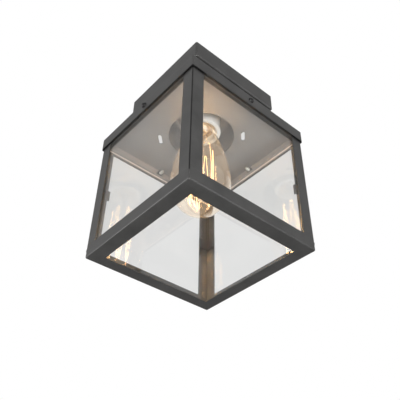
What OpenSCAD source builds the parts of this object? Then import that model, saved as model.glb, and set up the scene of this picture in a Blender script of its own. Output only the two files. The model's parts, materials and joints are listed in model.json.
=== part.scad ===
// Porch ceiling lantern: a square black canopy, a round neck, a square roof cap and a
// glazed cage of steel angle that hangs open at the bottom round one clear lamp bulb.
// The origin is the middle of the ceiling plane, +Z points up into the ceiling and
// the whole lantern hangs below z = 0. Front is -Y, right is +X.

/* [Canopy] */
// Width of the square canopy against the ceiling
canopy_w = 120; // [117:1:140]
// Height of the canopy
canopy_h = 24; // [22:1:36]
// Sheet thickness of the canopy
canopy_t = 1; // [0.8:0.1:1.6]
// Radius of the canopy's four upright corners
canopy_corner_r = 2; // [1.8:0.1:8]
// Outside radius of the folds along sheet edges
fold_r = 1.8; // [1.7:0.1:2.5]

/* [Neck] */
// Outer diameter of the round neck cup
neck_d = 76; // [72:1:82]
// Height of the neck, the open gap between canopy and cap
neck_h = 40; // [36:1:50]
// Sheet thickness of the neck cup
neck_t = 1.2; // [0.8:0.1:2]
// Width of the neck cup's foot flange
neck_flange = 6.5; // [4:0.5:7]

/* [Cap] */
// Width of the square roof cap
cap_w = 162; // [156:1:190]
// Height of the cap's skirt
cap_h = 16.5; // [16:0.5:30]
// Sheet thickness of the cap
cap_t = 0.8; // [0.6:0.1:1.4]
// Radius of the cap's four upright corners
cap_corner_r = 2; // [1.8:0.1:4]
// Thickness of the grey reflector plate under the cap
plate_t = 0.7; // [0.5:0.1:1.2]
// Distance of each vent slot from the lantern's axis
slot_at = 47; // [47:0.5:60]
// Offset of both vent slots from the diagonal, towards the back left
slot_shift = 2.5; // [0:0.5:4]
// Length of a vent slot
slot_l = 14.5; // [8:0.5:20]
// Width of a vent slot
slot_w = 4; // [3:0.5:5]

/* [Cage] */
// Height of the cage that shows below the cap
cage_drop = 147.5; // [125:0.5:200]
// Gap between the cap's skirt and the cage
cage_gap = 0.8; // [0.2:0.1:1]
// Leg of the steel angle in posts and bottom rails
angle_leg = 14.4; // [12:0.2:18]
// Wall thickness of the steel angle
angle_t = 1.2; // [1:0.1:2]
// Outside bend radius of the steel angle
bend_r = 1.5; // [1.3:0.1:1.9]
// Width of the top rail's inward flange
top_flange = 7.2; // [4:0.1:8]
// Height of the top rail's flange above the skirt's lower edge
top_rail_rise = 0.6; // [0.4:0.1:2]

/* [Glass] */
// Thickness of a glass pane
glass_t = 2; // [1.8:0.1:3]
// Play between a pane and the frame
glass_play = 0.1; // [0.1:0.05:0.3]
// Sheet thickness of a glass clip
clip_t = 0.8; // [0.6:0.1:1.2]
// Length of a clip's arm along the pane
clip_arm = 9; // [6:0.5:14]
// Height of a glass clip
clip_h = 10; // [6:0.5:16]

/* [Side screws] */
// Diameter of the side screws
screw_d = 4; // [3:0.5:5]
// Length of a side screw under its head
screw_l = 11; // [9:0.5:14]
// Diameter of a side screw's round head
screw_head_d = 6.4; // [6:0.1:8]
// Height of a side screw's head
screw_head_h = 2.8; // [2:0.1:4]
// Height of the side screws above the skirt's lower edge
screw_up = 8.6; // [8:0.1:10]
// Width across the flats of a weld nut
nut_flats = 7; // [6.5:0.1:8]
// Thickness of a weld nut
nut_h = 3.2; // [2.4:0.1:4]

/* [Socket] */
// Outer diameter of the porcelain lampholder
socket_d = 43; // [40:0.5:48]
// Height of the porcelain lampholder
socket_h = 34.4; // [32:0.2:36]
// Diameter of the lampholder's mouth
socket_mouth_d = 33.5; // [33:0.5:37]
// Height of the mouth's straight part
mouth_h = 5.4; // [3:0.2:7]
// Thickness of the porcelain base
socket_base = 5; // [4:0.2:6]
// Wall thickness of the brass bush in the base
bush_wall = 2.2; // [1.6:0.1:3]
// Thickness of the springy centre tongue
tongue_t = 0.4; // [0.3:0.1:0.6]
// Drop of the tongue below the socket's floor
tongue_drop = 0.6; // [0.4:0.1:1]
// Height of the plain chamber between the mouth and the screw shell
chamber_h = 4; // [3:0.2:5]
// Wall thickness of the screw shell
shell_t = 0.5; // [0.3:0.1:0.8]
// Radial play between the lamp thread and the screw shell
thread_play = 0.4; // [0.3:0.05:0.6]

/* [Bulb] */
// Largest diameter of the glass bulb
bulb_d = 64; // [56:1:72]
// Overall length of the bulb with its cap
bulb_l = 145; // [138:1:150]
// Height of the widest place above the bulb's tip
bulb_wide_up = 37.5; // [34:0.5:42]
// Diameter of the bulb's neck under the cap
bulb_neck_d = 30; // [27:0.5:31]
// Wall thickness of the bulb's glass
bulb_t = 0.8; // [0.6:0.1:1.2]
// Outer diameter of the lamp cap's thread
cap_thread_d = 26; // [25.6:0.1:26.4]
// Depth of the lamp cap's rolled thread
thread_depth = 0.9; // [0.6:0.1:1.1]
// Pitch of the lamp cap's thread
thread_pitch = 3.63; // [3.4:0.01:3.9]
// Wall thickness of the brass lamp cap
cap_wall = 0.4; // [0.3:0.1:0.6]
// Height of the brass lamp cap
lamp_cap_h = 20.4; // [19.6:0.2:22]
// Height of the black insulator over the lamp cap
insulator_h = 3; // [2.4:0.1:4]
// Height of the solder contact
contact_h = 1.6; // [1.2:0.1:2]
// Number of filament strands that run up and down the cage
strands = 12; // [8:2:16]
// Diameter of a filament strand
strand_d = 0.5; // [0.4:0.1:0.8]
// Radius of the filament cage at its upper hooks
cage_top_r = 12.5; // [10:0.5:13]
// Radius of the filament cage at its lower hooks
cage_low_r = 12; // [10:0.5:13]
// Height of the filament cage
filament_h = 72; // [60:1:76]
// Distance from the lamp cap down to the filament cage
filament_drop = 31.5; // [28:0.5:34]

/* [Ceiling mounting] */
// Gap between each end of the crossbar and the canopy's wall
bar_play = 3; // [2:0.5:6]
// Width of the crossbar
bar_w = 20; // [18:1:26]
// Thickness of the crossbar
bar_t = 1.8; // [1.5:0.1:3]
// Distance between the centres of the two box screw slots
slot_spacing = 79.4; // [78:0.2:80]
// End-to-end length of a box screw slot
box_slot_l = 14; // [12:0.5:15]
// Width of a box screw slot
box_slot_w = 4.8; // [4.4:0.1:5.4]
// Distance of each canopy stud from the crossbar's end
stud_inset = 4; // [3.5:0.1:4.5]
// Diameter of the canopy studs
stud_d = 4; // [3.5:0.1:4.5]
// Width across the flats of an acorn nut
acorn_flats = 7; // [6.6:0.1:8]
// Outer diameter of the threaded nipple
nipple_d = 9.6; // [9:0.1:10.4]
// Bore of the threaded nipple
nipple_bore = 6.4; // [5:0.1:7]
// Length of the nipple above the canopy's floor
nipple_rise = 9; // [7:0.5:14]
// Rim of the nipple's nut outside its thread
nut_rim = 2.2; // [1.8:0.1:3]
// Thickness of the nipple's nut
nipple_nut_h = 4; // [3:0.5:6]
// Thickness of the nipple's lock washer
washer_h = 1; // [0.6:0.1:1.6]

/* [Hidden] */
$fn = 48;
// Radial clearance of a close fit, and the gap left between pieces that stay apart
fit = 0.05;
slack = 0.3;
// How far a cut runs past the face that it opens
over = 1;

// Levels, from the ceiling down
canopy_under = -canopy_h;
neck_under = canopy_under - neck_t;
cap_top = canopy_under - neck_h;
plate_top = cap_top - cap_t;
plate_under = plate_top - plate_t;
cap_under = cap_top - cap_h;
top_rail_under = cap_under + top_rail_rise;
cage_under = cap_under - cage_drop;
rail_top = cage_under + angle_leg;
screw_z = cap_under + screw_up;
glass_under = cage_under + angle_t;
glass_top = top_rail_under - slack;
clip_z = (rail_top + top_rail_under) / 2;

// Half widths, from the axis out
cap_half = cap_w / 2;
cage_half = cap_half - cap_t - cage_gap;
frame_inner = cage_half - angle_t;
glass_outer = frame_inner - glass_play;
glass_inner = glass_outer - glass_t;
clip_inner = glass_inner - clip_t;
glass_half_w = clip_inner - slack;
hole_r = neck_d / 2 - neck_t;

// Lampholder and bulb
socket_under = neck_under - socket_h;
socket_floor = neck_under - socket_base;
bush_r = nipple_d / 2 + bush_wall;
thread_r = cap_thread_d / 2;
shell_r = thread_r + thread_play;
chamber_r = shell_r + shell_t + fit;
tongue_under = socket_floor - tongue_drop - tongue_t;
bulb_top = tongue_under - slack;
lamp_cap_top = bulb_top - contact_h - insulator_h;
lamp_cap_under = lamp_cap_top - lamp_cap_h;
thread_turns = 5;
thread_h = thread_turns * thread_pitch;
bulb_tip = bulb_top - bulb_l;
bulb_wide = bulb_tip + bulb_wide_up;
neck_glass_r = thread_r - thread_depth - cap_wall - fit;
shell_top = bulb_top - contact_h - over;
shell_under = socket_under + mouth_h + chamber_h;
filament_top = lamp_cap_under - filament_drop;
filament_low = filament_top - filament_h;
button_r = 2.2;
rod_r = 1.4;
stem_lip_h = 3;
stem_flare_h = 12;
stem_tube_h = 20;
stem_tube_r = 3.2;
stem_pinch_h = 4;
bead_r = 0.7 * strand_d;
hook_w = 1.8;

// Mounting parts
bar_under = -bar_t;
bar_l = canopy_w - 2 * (canopy_t + bar_play);
stud_x = bar_l / 2 - stud_inset;
acorn_h = 4;
stud_under = canopy_under - acorn_h - 1;
ground_r = 1.9;
ground_head_flats = 6.4;
ground_collar_r = 4.4;
washer_rim = 3;
ground_x = bar_w;
nipple_top = canopy_under + canopy_t + nipple_rise;
nipple_under = socket_floor + slack;

black_paint = [0.2, 0.2, 0.2];
bare_steel = [0.62, 0.6, 0.57];
zinc = [0.75, 0.75, 0.72];
brass = [0.8, 0.62, 0.3];
porcelain = [0.93, 0.93, 0.9];
clear_glass = [0.85, 0.9, 0.9, 0.3];
glowing = [1, 0.72, 0.3];

// Turns a piece from the right-hand side to side i: 0 right, 1 back, 2 left, 3 front
module on_side(i) rotate([0, 0, 90 * i]) children();

// A square outline with round corners, centred
module round_square(w, r) {
    square([w, w - 2 * r], center = true);
    square([w - 2 * r, w], center = true);
    for (x = [-1, 1], y = [-1, 1])
        translate([x * (w / 2 - r), y * (w / 2 - r)]) circle(r);
}

// A rectangle whose two lower corners are round, standing on y = 0
module round_foot(w, h, r) {
    translate([-w / 2, r]) square([w, h - r]);
    translate([-w / 2 + r, 0]) square([w - 2 * r, h]);
    for (x = [-1, 1]) translate([x * (w / 2 - r), r]) circle(r);
}

// A block standing on z = 0, with round upright corners and a fold radius along its foot
module folded_block(w, h, corner_r, edge_r) {
    intersection() {
        linear_extrude(h) round_square(w, corner_r);
        rotate([90, 0, 0]) linear_extrude(w + 2 * over, center = true) round_foot(w, h, edge_r);
        rotate([90, 0, 90]) linear_extrude(w + 2 * over, center = true) round_foot(w, h, edge_r);
    }
}

// A folded sheet tray, open at the top, standing on z = 0
module folded_tray(w, h, t, corner_r, edge_r) {
    difference() {
        folded_block(w, h, corner_r, edge_r);
        translate([0, 0, t]) folded_block(w - 2 * t, h, corner_r - t, edge_r - t);
    }
}

// A slot with round ends, its length along X
module slot_outline(l, w) {
    square([l - w, w], center = true);
    for (x = [-1, 1]) translate([x * (l - w) / 2, 0]) circle(w / 2);
}

// A six-sided bar with the given width across its flats
module hexagon(flats, h) cylinder(h, r = flats / sqrt(3), $fn = 6);

// The two vent slots beside the left-front to right-back diagonal, cut through any sheet
module vent_slots() {
    rotate([0, 0, 45]) for (x = [-1, 1]) translate([x * slot_at, slot_shift]) rotate([0, 0, 90])
        slot_outline(slot_l, slot_w);
}

module canopy() {
    color(black_paint) difference() {
        translate([0, 0, canopy_under])
            folded_tray(canopy_w, canopy_h, canopy_t, canopy_corner_r, fold_r);
        translate([0, 0, canopy_under - over]) cylinder(canopy_t + 2 * over, r = nipple_d / 2 + slack);
        for (x = [-1, 1]) translate([x * stud_x, 0, canopy_under - over])
            cylinder(canopy_t + 2 * over, r = stud_d / 2 + slack);
    }
}

// A flat strap with two slots for the ceiling box and two tapped holes for the canopy studs
module crossbar() {
    color(zinc) translate([0, 0, bar_under]) linear_extrude(bar_t) difference() {
        slot_outline(bar_l, bar_w);
        circle(nipple_d / 2 + over);
        for (x = [-1, 1]) translate([x * slot_spacing / 2, 0]) slot_outline(box_slot_l, box_slot_w);
        for (x = [-1, 1]) translate([x * stud_x, 0]) circle(stud_d / 2 + fit);
        translate([ground_x, 0]) circle(ground_r + fit);
    }
}

// Two studs hang from the crossbar and carry the canopy
module canopy_studs() {
    color(zinc) for (x = [-1, 1]) translate([x * stud_x, 0, stud_under])
        cylinder(-stud_under, r = stud_d / 2);
}

// Acorn nuts under the canopy's floor: a hexagon with a domed, blind end
module acorn_nuts() {
    dome_r = acorn_flats / 2 - 0.3;
    color(black_paint) for (x = [-1, 1]) translate([x * stud_x, 0, canopy_under]) difference() {
        union() {
            translate([0, 0, -acorn_h]) hexagon(acorn_flats, acorn_h);
            translate([0, 0, -acorn_h]) sphere(dome_r);
        }
        translate([0, 0, stud_under - canopy_under]) cylinder(-stud_under, r = stud_d / 2 + fit);
    }
}

// Earth screw in the crossbar, with a washer face under its hexagon head
module ground_screw() {
    collar_h = 1;
    head_h = 3;
    color([0.25, 0.5, 0.25]) translate([ground_x, 0, bar_under]) {
        cylinder(bar_t, r = ground_r);
        translate([0, 0, -collar_h]) cylinder(collar_h, r = ground_collar_r);
        translate([0, 0, -collar_h - head_h]) hexagon(ground_head_flats, head_h);
    }
}

// Hollow threaded tube that clamps canopy, neck cup and lampholder together
module nipple() {
    color(zinc) translate([0, 0, nipple_under]) difference() {
        cylinder(nipple_top - nipple_under, r = nipple_d / 2);
        translate([0, 0, -over]) cylinder(nipple_top - nipple_under + 2 * over, r = nipple_bore / 2);
    }
}

module lock_washer() {
    color(zinc) translate([0, 0, canopy_under + canopy_t]) difference() {
        cylinder(washer_h, r = nipple_d / 2 + washer_rim);
        translate([0, 0, -over]) cylinder(washer_h + 2 * over, r = nipple_d / 2 + fit);
    }
}

module nipple_nut() {
    color(brass) translate([0, 0, canopy_under + canopy_t + washer_h]) difference() {
        hexagon(nipple_d + 2 * nut_rim, nipple_nut_h);
        translate([0, 0, -over]) cylinder(nipple_nut_h + 2 * over, r = nipple_d / 2 + fit);
    }
}

// A drawn cup, closed against the canopy, with a foot flange that is welded to the cap
module neck_cup() {
    draw_r = 4;
    outer = neck_d / 2;
    color(bare_steel) translate([0, 0, cap_top]) rotate_extrude($fn = 96) difference() {
        union() {
            square([outer, neck_h - draw_r]);
            square([outer - draw_r, neck_h]);
            translate([outer - draw_r, neck_h - draw_r]) circle(draw_r);
            square([outer + neck_flange, neck_t]);
        }
        union() {
            translate([0, -over]) square([hole_r, neck_h - draw_r + over]);
            translate([0, -over]) square([outer - draw_r, neck_h - neck_t + over]);
            translate([outer - draw_r, neck_h - draw_r]) circle(draw_r - neck_t);
        }
        square([nipple_d / 2 + slack, neck_h + over]);
    }
}

// A square pan turned over the cage: a flat top and a folded skirt
module roof_cap() {
    color(black_paint) difference() {
        translate([0, 0, cap_top]) mirror([0, 0, 1]) folded_tray(cap_w, cap_h, cap_t, cap_corner_r, fold_r);
        translate([0, 0, plate_top - over]) cylinder(cap_t + 2 * over, r = hole_r, $fn = 96);
        translate([0, 0, plate_top - over]) linear_extrude(cap_t + 2 * over) vent_slots();
        for (i = [0:3]) on_side(i) translate([cap_half - cap_t - over, 0, screw_z]) rotate([0, 90, 0])
            cylinder(cap_t + 2 * over, r = screw_d / 2 + slack);
    }
}

// The bright sheet that lines the cap over the lamp
module reflector_plate() {
    plate_w = 2 * (cap_half - fold_r - fit);
    color(bare_steel) translate([0, 0, plate_under]) linear_extrude(plate_t) difference() {
        round_square(plate_w, cap_corner_r);
        circle(hole_r, $fn = 96);
        vent_slots();
    }
}

// Porcelain lampholder: a thick cup with a stepped mouth and a hole for its bush
module socket_body() {
    outer = socket_d / 2;
    mouth = socket_mouth_d / 2;
    lip = 1.2;
    color(porcelain) rotate_extrude($fn = 96) difference() {
        union() {
            translate([0, socket_under + lip]) square([outer, socket_h - lip]);
            translate([0, socket_under]) square([outer - lip, socket_h]);
            translate([outer - lip, socket_under + lip]) circle(lip);
        }
        translate([0, neck_under - 2 * socket_base]) square([bush_r + fit, 2 * socket_base + over]);
        translate([0, socket_under - over]) square([chamber_r, socket_floor - socket_under + over]);
        polygon([
            [0, socket_under - over], [mouth, socket_under - over], [mouth, socket_under + mouth_h],
            [chamber_r, shell_under - slack], [0, shell_under - slack]
        ]);
    }
}

// Threaded brass bush in the lampholder's base, where the nipple screws in
module socket_bush() {
    color(brass) translate([0, 0, socket_floor]) difference() {
        cylinder(socket_base, r = bush_r);
        translate([0, 0, -over]) cylinder(socket_base + 2 * over, r = nipple_d / 2 + fit);
    }
}

// Metal shell that takes the lamp cap's thread
module socket_shell() {
    color(brass) translate([0, 0, shell_under]) difference() {
        cylinder(shell_top - shell_under, r = shell_r + shell_t, $fn = 96);
        translate([0, 0, -over]) cylinder(shell_top - shell_under + 2 * over, r = shell_r, $fn = 96);
    }
}

// Springy centre tongue, riveted beside the bush and bent down over the lamp's contact
module socket_contact() {
    tongue_w = 5;
    pad_in = -3;
    pad_out = 2;
    root_in = bush_r + 1;
    root_out = chamber_r - 1;
    upper = [[root_out, 0], [root_in, 0], [pad_out, -tongue_drop], [pad_in, -tongue_drop]];
    color(brass) translate([0, 0, socket_floor]) rotate([90, 0, 0]) linear_extrude(tongue_w, center = true)
        polygon(concat(upper, [for (k = [3:-1:0]) upper[k] - [0, tongue_t]]));
}

// Solder contact on top of the lamp cap
module bulb_contact() {
    dome_r = 4.6;
    color(zinc) translate([0, 0, bulb_top - contact_h]) intersection() {
        cylinder(contact_h, r = dome_r);
        translate([0, 0, contact_h - 2 * dome_r]) sphere(2 * dome_r);
    }
}

// Black glass between the contact and the threaded cap
module bulb_insulator() {
    color([0.1, 0.1, 0.12]) translate([0, 0, lamp_cap_top])
        cylinder(insulator_h, r1 = thread_r - thread_depth - 1, r2 = 5.2);
}

// Radius of the rolled thread at height h above the cap's lower rim
function thread_wave(h) = thread_r - thread_depth / 2 + thread_depth / 2 * cos(360 * h / thread_pitch);
thread_steps = 8;
rolled = [for (k = [0:thread_turns * thread_steps])
    [thread_wave(k * thread_pitch / thread_steps), k * thread_pitch / thread_steps]];

// Brass lamp cap with its rolled thread
module bulb_cap() {
    core_r = thread_r - thread_depth - cap_wall;
    color(brass) translate([0, 0, lamp_cap_under]) rotate_extrude() difference() {
        polygon(concat(
            [[0, 0]], [for (p = rolled) p + [0, lamp_cap_h - thread_h - 1]],
            [[core_r + cap_wall, lamp_cap_h - cap_wall], [core_r, lamp_cap_h], [0, lamp_cap_h]]
        ));
        translate([0, -over]) square([core_r, lamp_cap_h - cap_wall + over]);
    }
}

// Outer radius of the glass at a share u of the way from the neck (0) to the widest place (1)
flare_power = 1.2;
function flare(u) = bulb_neck_d / 2 + (bulb_d - bulb_neck_d) / 2 * pow(sin(90 * u), flare_power);
glass_neck_z = lamp_cap_under - over;
neck_in_cap = 8;
flare_steps = 16;
dome_steps = 12;
flared = [for (k = [0:flare_steps]) [
    flare(k / flare_steps), glass_neck_z + (bulb_wide - glass_neck_z) * k / flare_steps
]];
domed = [for (k = [1:dome_steps]) [
    bulb_d / 2 * cos(90 * k / dome_steps), bulb_wide - bulb_wide_up * sin(90 * k / dome_steps)
]];

// Teardrop envelope, thin all round, with its neck cemented inside the lamp cap
module bulb_glass() {
    neck_top = lamp_cap_under + neck_in_cap;
    bore_r = neck_glass_r - bulb_t;
    width_share = (bulb_d / 2 - bulb_t) / (bulb_d / 2);
    depth_share = (bulb_wide_up - bulb_t) / bulb_wide_up;
    outer = concat([[neck_glass_r, neck_top], [neck_glass_r, lamp_cap_under - slack]], flared, domed);
    inner = concat(
        [[bore_r, neck_top + over], [bore_r, lamp_cap_under - 2 * slack]],
        [for (p = flared) [p[0] - bulb_t, p[1]]],
        [for (p = domed) [p[0] * width_share, bulb_wide + (p[1] - bulb_wide) * depth_share]]
    );
    color(clear_glass) rotate_extrude($fn = 96) difference() {
        polygon(concat([[0, neck_top]], outer));
        polygon(concat([[0, neck_top + over]], inner));
    }
}

// Glass flare, tube and rod that carry the filament
module bulb_stem() {
    flare_top = lamp_cap_under + neck_in_cap - 2;
    flare_r = neck_glass_r - bulb_t - fit;
    rod_top = filament_top + stem_pinch_h;
    profile = [
        [0, flare_top], [flare_r, flare_top], [flare_r - 1, flare_top - stem_lip_h],
        [stem_tube_r + 1, flare_top - stem_flare_h], [stem_tube_r, flare_top - stem_tube_h],
        [rod_r, rod_top], [0, rod_top]
    ];
    color(clear_glass) {
        rotate_extrude() polygon(profile);
        translate([0, 0, filament_low]) cylinder(rod_top + over - filament_low, r = rod_r);
        for (z = [filament_low, filament_top]) translate([0, 0, z]) sphere(button_r);
    }
}

// Hook points of the filament cage: even ones lie at the top, odd ones at the bottom
function hook(i) = let (top = i % 2 == 0, r = top ? cage_top_r : cage_low_r, a = 360 * i / strands)
    [r * cos(a), r * sin(a), top ? filament_top + 2 : filament_low - 2];

// A round wire from point a to point b
module wire(a, b, d) {
    span = b - a;
    tilt = atan2(norm([span[0], span[1]]), span[2]);
    translate(a) rotate([0, tilt, atan2(span[1], span[0])]) cylinder(norm(span), r = d / 2, $fn = 16);
}

// One end of the wire's short bend round hook i: side -1 comes before the hook, +1 after it
function bend_end(i, side) = let (a = 360 * i / strands) hook(i) + side * hook_w / 2 * [-sin(a), cos(a), 0];

// One wire runs up and down round the cage and bends over every hook; its two ends stay apart
module filament() {
    color(glowing) {
        for (i = [0:strands - 2]) wire(bend_end(i, 1), bend_end(i + 1, -1), strand_d);
        for (i = [0:strands - 1]) wire(bend_end(i, -1), bend_end(i, 1), strand_d);
        for (i = [0:strands - 1], side = [-1, 1]) translate(bend_end(i, side)) sphere(bead_r, $fn = 16);
    }
}

// Fine support wires that run from the two glass buttons out to the hooks
module filament_supports() {
    wire_d = 0.4;
    color(zinc) for (i = [0:strands - 1]) {
        tip = hook(i);
        out = [cos(360 * i / strands), sin(360 * i / strands), 0];
        base = [0, 0, i % 2 == 0 ? filament_top : filament_low] + (button_r + wire_d / 4) * out;
        wire(base, tip - (strand_d / 2 + fit) * out, wire_d);
    }
}

// One corner post of steel angle, between the bottom ring and the top ring
module post(i) {
    color(black_paint) on_side(i) translate([0, 0, rail_top]) linear_extrude(top_rail_under - rail_top)
        intersection() {
            difference() {
                round_square(2 * cage_half, bend_r);
                square(2 * frame_inner, center = true);
            }
            translate([cage_half - angle_leg, cage_half - angle_leg]) square(angle_leg + over);
        }
}
module post_back_right() post(0);
module post_back_left() post(1);
module post_front_left() post(2);
module post_front_right() post(3);

// The mitred share of a square ring that belongs to one side, between two heights
module mitre_wedge(low, high) {
    reach = cage_half + over;
    translate([0, 0, low]) linear_extrude(high - low) intersection() {
        polygon([[0, 0], [reach, -reach], [reach, reach]]);
        round_square(2 * cage_half, bend_r);
    }
}

// Bottom rail: an angle with its round bend at the foot, mitred into its neighbours
module bottom_rail(i) {
    color(black_paint) on_side(i) intersection() {
        mitre_wedge(cage_under, rail_top);
        translate([cage_half, 0, cage_under]) rotate([90, 0, 0]) linear_extrude(2 * cage_half, center = true)
            difference() {
                union() {
                    translate([-angle_leg, 0]) square([angle_leg - bend_r, angle_leg]);
                    translate([-angle_leg, bend_r]) square([angle_leg, angle_leg - bend_r]);
                    translate([-bend_r, bend_r]) circle(bend_r);
                }
                translate([-angle_leg - over, angle_t]) square([angle_leg + over - angle_t, angle_leg]);
            }
    }
}
module bottom_rail_right() bottom_rail(0);
module bottom_rail_back() bottom_rail(1);
module bottom_rail_left() bottom_rail(2);
module bottom_rail_front() bottom_rail(3);

// Top rail: its tall leg stands inside the skirt, its short flange stops the pane
module top_rail(i) {
    rail_h = plate_under - top_rail_under;
    color(black_paint) on_side(i) difference() {
        intersection() {
            mitre_wedge(top_rail_under, plate_under);
            translate([cage_half, 0, top_rail_under]) rotate([90, 0, 0])
                linear_extrude(2 * cage_half, center = true) {
                    translate([-angle_t, 0]) square([angle_t, rail_h]);
                    translate([-top_flange, 0]) square([top_flange, angle_t]);
                }
        }
        translate([frame_inner - over, 0, screw_z]) rotate([0, 90, 0])
            cylinder(angle_t + 2 * over, r = screw_d / 2 + fit);
    }
}
module top_rail_right() top_rail(0);
module top_rail_back() top_rail(1);
module top_rail_left() top_rail(2);
module top_rail_front() top_rail(3);

// A flat pane that stands on the bottom rail's flange, behind the posts
module glass(i) {
    color(clear_glass) on_side(i) translate([glass_inner, -glass_half_w, glass_under])
        cube([glass_t, 2 * glass_half_w, glass_top - glass_under]);
}
module glass_right() glass(0);
module glass_back() glass(1);
module glass_left() glass(2);
module glass_front() glass(3);

// One clip in each post: a web welded into the corner and two arms that hold the panes' edges
module glass_clips() {
    arm_end = clip_inner - clip_arm;
    web = frame_inner - clip_inner;
    color(black_paint) for (i = [0:3]) on_side(i) translate([0, 0, clip_z - clip_h / 2])
        linear_extrude(clip_h) {
            translate([clip_inner, clip_inner]) square(web);
            translate([clip_inner, arm_end]) square([clip_t, clip_arm + clip_t]);
            translate([arm_end, clip_inner]) square([clip_arm + clip_t, clip_t]);
        }
}

// Weld nuts on the inner faces of the top rails
module weld_nuts() {
    color(black_paint) for (i = [0:3]) on_side(i) translate([frame_inner - nut_h, 0, screw_z])
        rotate([0, 90, 0]) difference() {
            hexagon(nut_flats, nut_h);
            translate([0, 0, -over]) cylinder(nut_h + 2 * over, r = screw_d / 2 + fit);
        }
}

// Round-headed screw through skirt and top rail, with a cross recess in its head
module side_screw(i) {
    rim = 0.8;
    cross_l = 3;
    cross_w = 0.8;
    cross_h = 1.2;
    ball_r = (pow(screw_head_d / 2, 2) + pow(screw_head_h - rim, 2)) / (2 * (screw_head_h - rim));
    color(black_paint) on_side(i) translate([cap_half, 0, screw_z]) rotate([0, 90, 0]) difference() {
        union() {
            translate([0, 0, -screw_l]) cylinder(screw_l, r = screw_d / 2);
            intersection() {
                cylinder(screw_head_h, r = screw_head_d / 2);
                translate([0, 0, screw_head_h - ball_r]) sphere(ball_r);
            }
        }
        for (a = [0, 90]) rotate([0, 0, a]) translate([-cross_l / 2, -cross_w / 2, screw_head_h - cross_h])
            cube([cross_l, cross_w, cross_h + over]);
    }
}
module side_screw_right() side_screw(0);
module side_screw_back() side_screw(1);
module side_screw_left() side_screw(2);
module side_screw_front() side_screw(3);

canopy();
crossbar();
canopy_studs();
acorn_nuts();
ground_screw();
nipple();
lock_washer();
nipple_nut();
neck_cup();
roof_cap();
reflector_plate();
socket_body();
socket_bush();
socket_shell();
socket_contact();
bulb_contact();
bulb_insulator();
bulb_cap();
bulb_glass();
bulb_stem();
filament();
filament_supports();
post_back_right();
post_back_left();
post_front_left();
post_front_right();
bottom_rail_right();
bottom_rail_back();
bottom_rail_left();
bottom_rail_front();
top_rail_right();
top_rail_back();
top_rail_left();
top_rail_front();
glass_right();
glass_back();
glass_left();
glass_front();
glass_clips();
weld_nuts();
side_screw_right();
side_screw_back();
side_screw_left();
side_screw_front();
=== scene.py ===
"""Looks of a porch ceiling lantern: a black canopy, a steel neck, a wide cap and a glazed cage of
steel angle, open at the bottom, round one clear teardrop lamp with a caged filament.

Metres throughout. The ceiling is z = 0 and the lantern hangs below it; front is -Y, right is +X.
"""
import json
import math

import bpy
import numpy as np
from mathutils import Matrix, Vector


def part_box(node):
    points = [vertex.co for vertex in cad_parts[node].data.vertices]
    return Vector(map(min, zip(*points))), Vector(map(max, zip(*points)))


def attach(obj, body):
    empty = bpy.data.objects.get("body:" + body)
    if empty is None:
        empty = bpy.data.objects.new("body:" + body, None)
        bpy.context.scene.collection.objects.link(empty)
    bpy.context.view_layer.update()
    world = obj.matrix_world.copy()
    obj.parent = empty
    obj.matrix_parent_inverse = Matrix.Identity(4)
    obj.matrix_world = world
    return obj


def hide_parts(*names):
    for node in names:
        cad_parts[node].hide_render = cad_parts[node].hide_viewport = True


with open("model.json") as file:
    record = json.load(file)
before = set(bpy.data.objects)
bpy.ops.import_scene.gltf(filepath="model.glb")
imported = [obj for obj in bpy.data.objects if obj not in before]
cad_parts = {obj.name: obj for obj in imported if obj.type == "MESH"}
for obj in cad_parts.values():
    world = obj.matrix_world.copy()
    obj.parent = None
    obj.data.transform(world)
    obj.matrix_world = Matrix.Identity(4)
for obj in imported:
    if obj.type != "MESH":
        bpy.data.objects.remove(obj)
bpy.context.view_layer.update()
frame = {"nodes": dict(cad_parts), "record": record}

MM = 0.001
SIDES = ("right", "back", "left", "front")
FAR_SIDES = ("back", "left")
POSTS = ("back_right", "back_left", "front_left", "front_right")
LANTERN = "lantern"
BULB = "bulb"


# ---------------- surfaces worked out as arrays

def grid_faces(rows, columns, joined):
    """Quads between neighbours of a grid whose columns go round. Joined rows also close into a ring."""
    i = np.arange(rows if joined else rows - 1)[:, None]
    j = np.arange(columns)[None, :]
    ahead, beside = (i + 1) % rows, (j + 1) % columns
    corners = (i * columns + j, i * columns + beside, ahead * columns + beside, ahead * columns + j)
    return np.stack(np.broadcast_arrays(*corners), -1).reshape(-1, 4)


def enclosed_volume(points, faces):
    """Sum of the signed tetrahedra from the origin to each half of each quad."""
    a, b, c, d = (points[faces[:, k]] for k in range(4))
    return (np.einsum("ij,ij->i", a, np.cross(b, c)) + np.einsum("ij,ij->i", a, np.cross(c, d))).sum()


def shell(grid, joined, first):
    """Points, quads and end caps of one closed surface from a grid (rows, columns, 3), turned outwards.

    The columns go round the surface. The rows either join into a ring, or end in two flat caps. The points
    are numbered from first."""
    rows, columns = grid.shape[:2]
    quads = grid_faces(rows, columns, joined)
    points = grid.reshape(-1, 3)
    centred = points - points.mean(0)
    lids = np.zeros((0, columns), int)
    if not joined:
        lids = np.stack([np.arange(columns)[::-1], np.arange(columns) + (rows - 1) * columns])
    fans = [np.stack([np.full(columns - 2, lid[0]), lid[1:-1], lid[2:], lid[2:]], 1) for lid in lids]
    if enclosed_volume(centred, np.concatenate([quads, *fans])) < 0:
        quads, lids = quads[:, ::-1], lids[:, ::-1]
    return points, first + quads, first + lids


def new_object(name, data):
    """An object in the scene for a mesh, a lamp or a camera."""
    thing = bpy.data.objects.new(name, data)
    bpy.context.scene.collection.objects.link(thing)
    return thing


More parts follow.
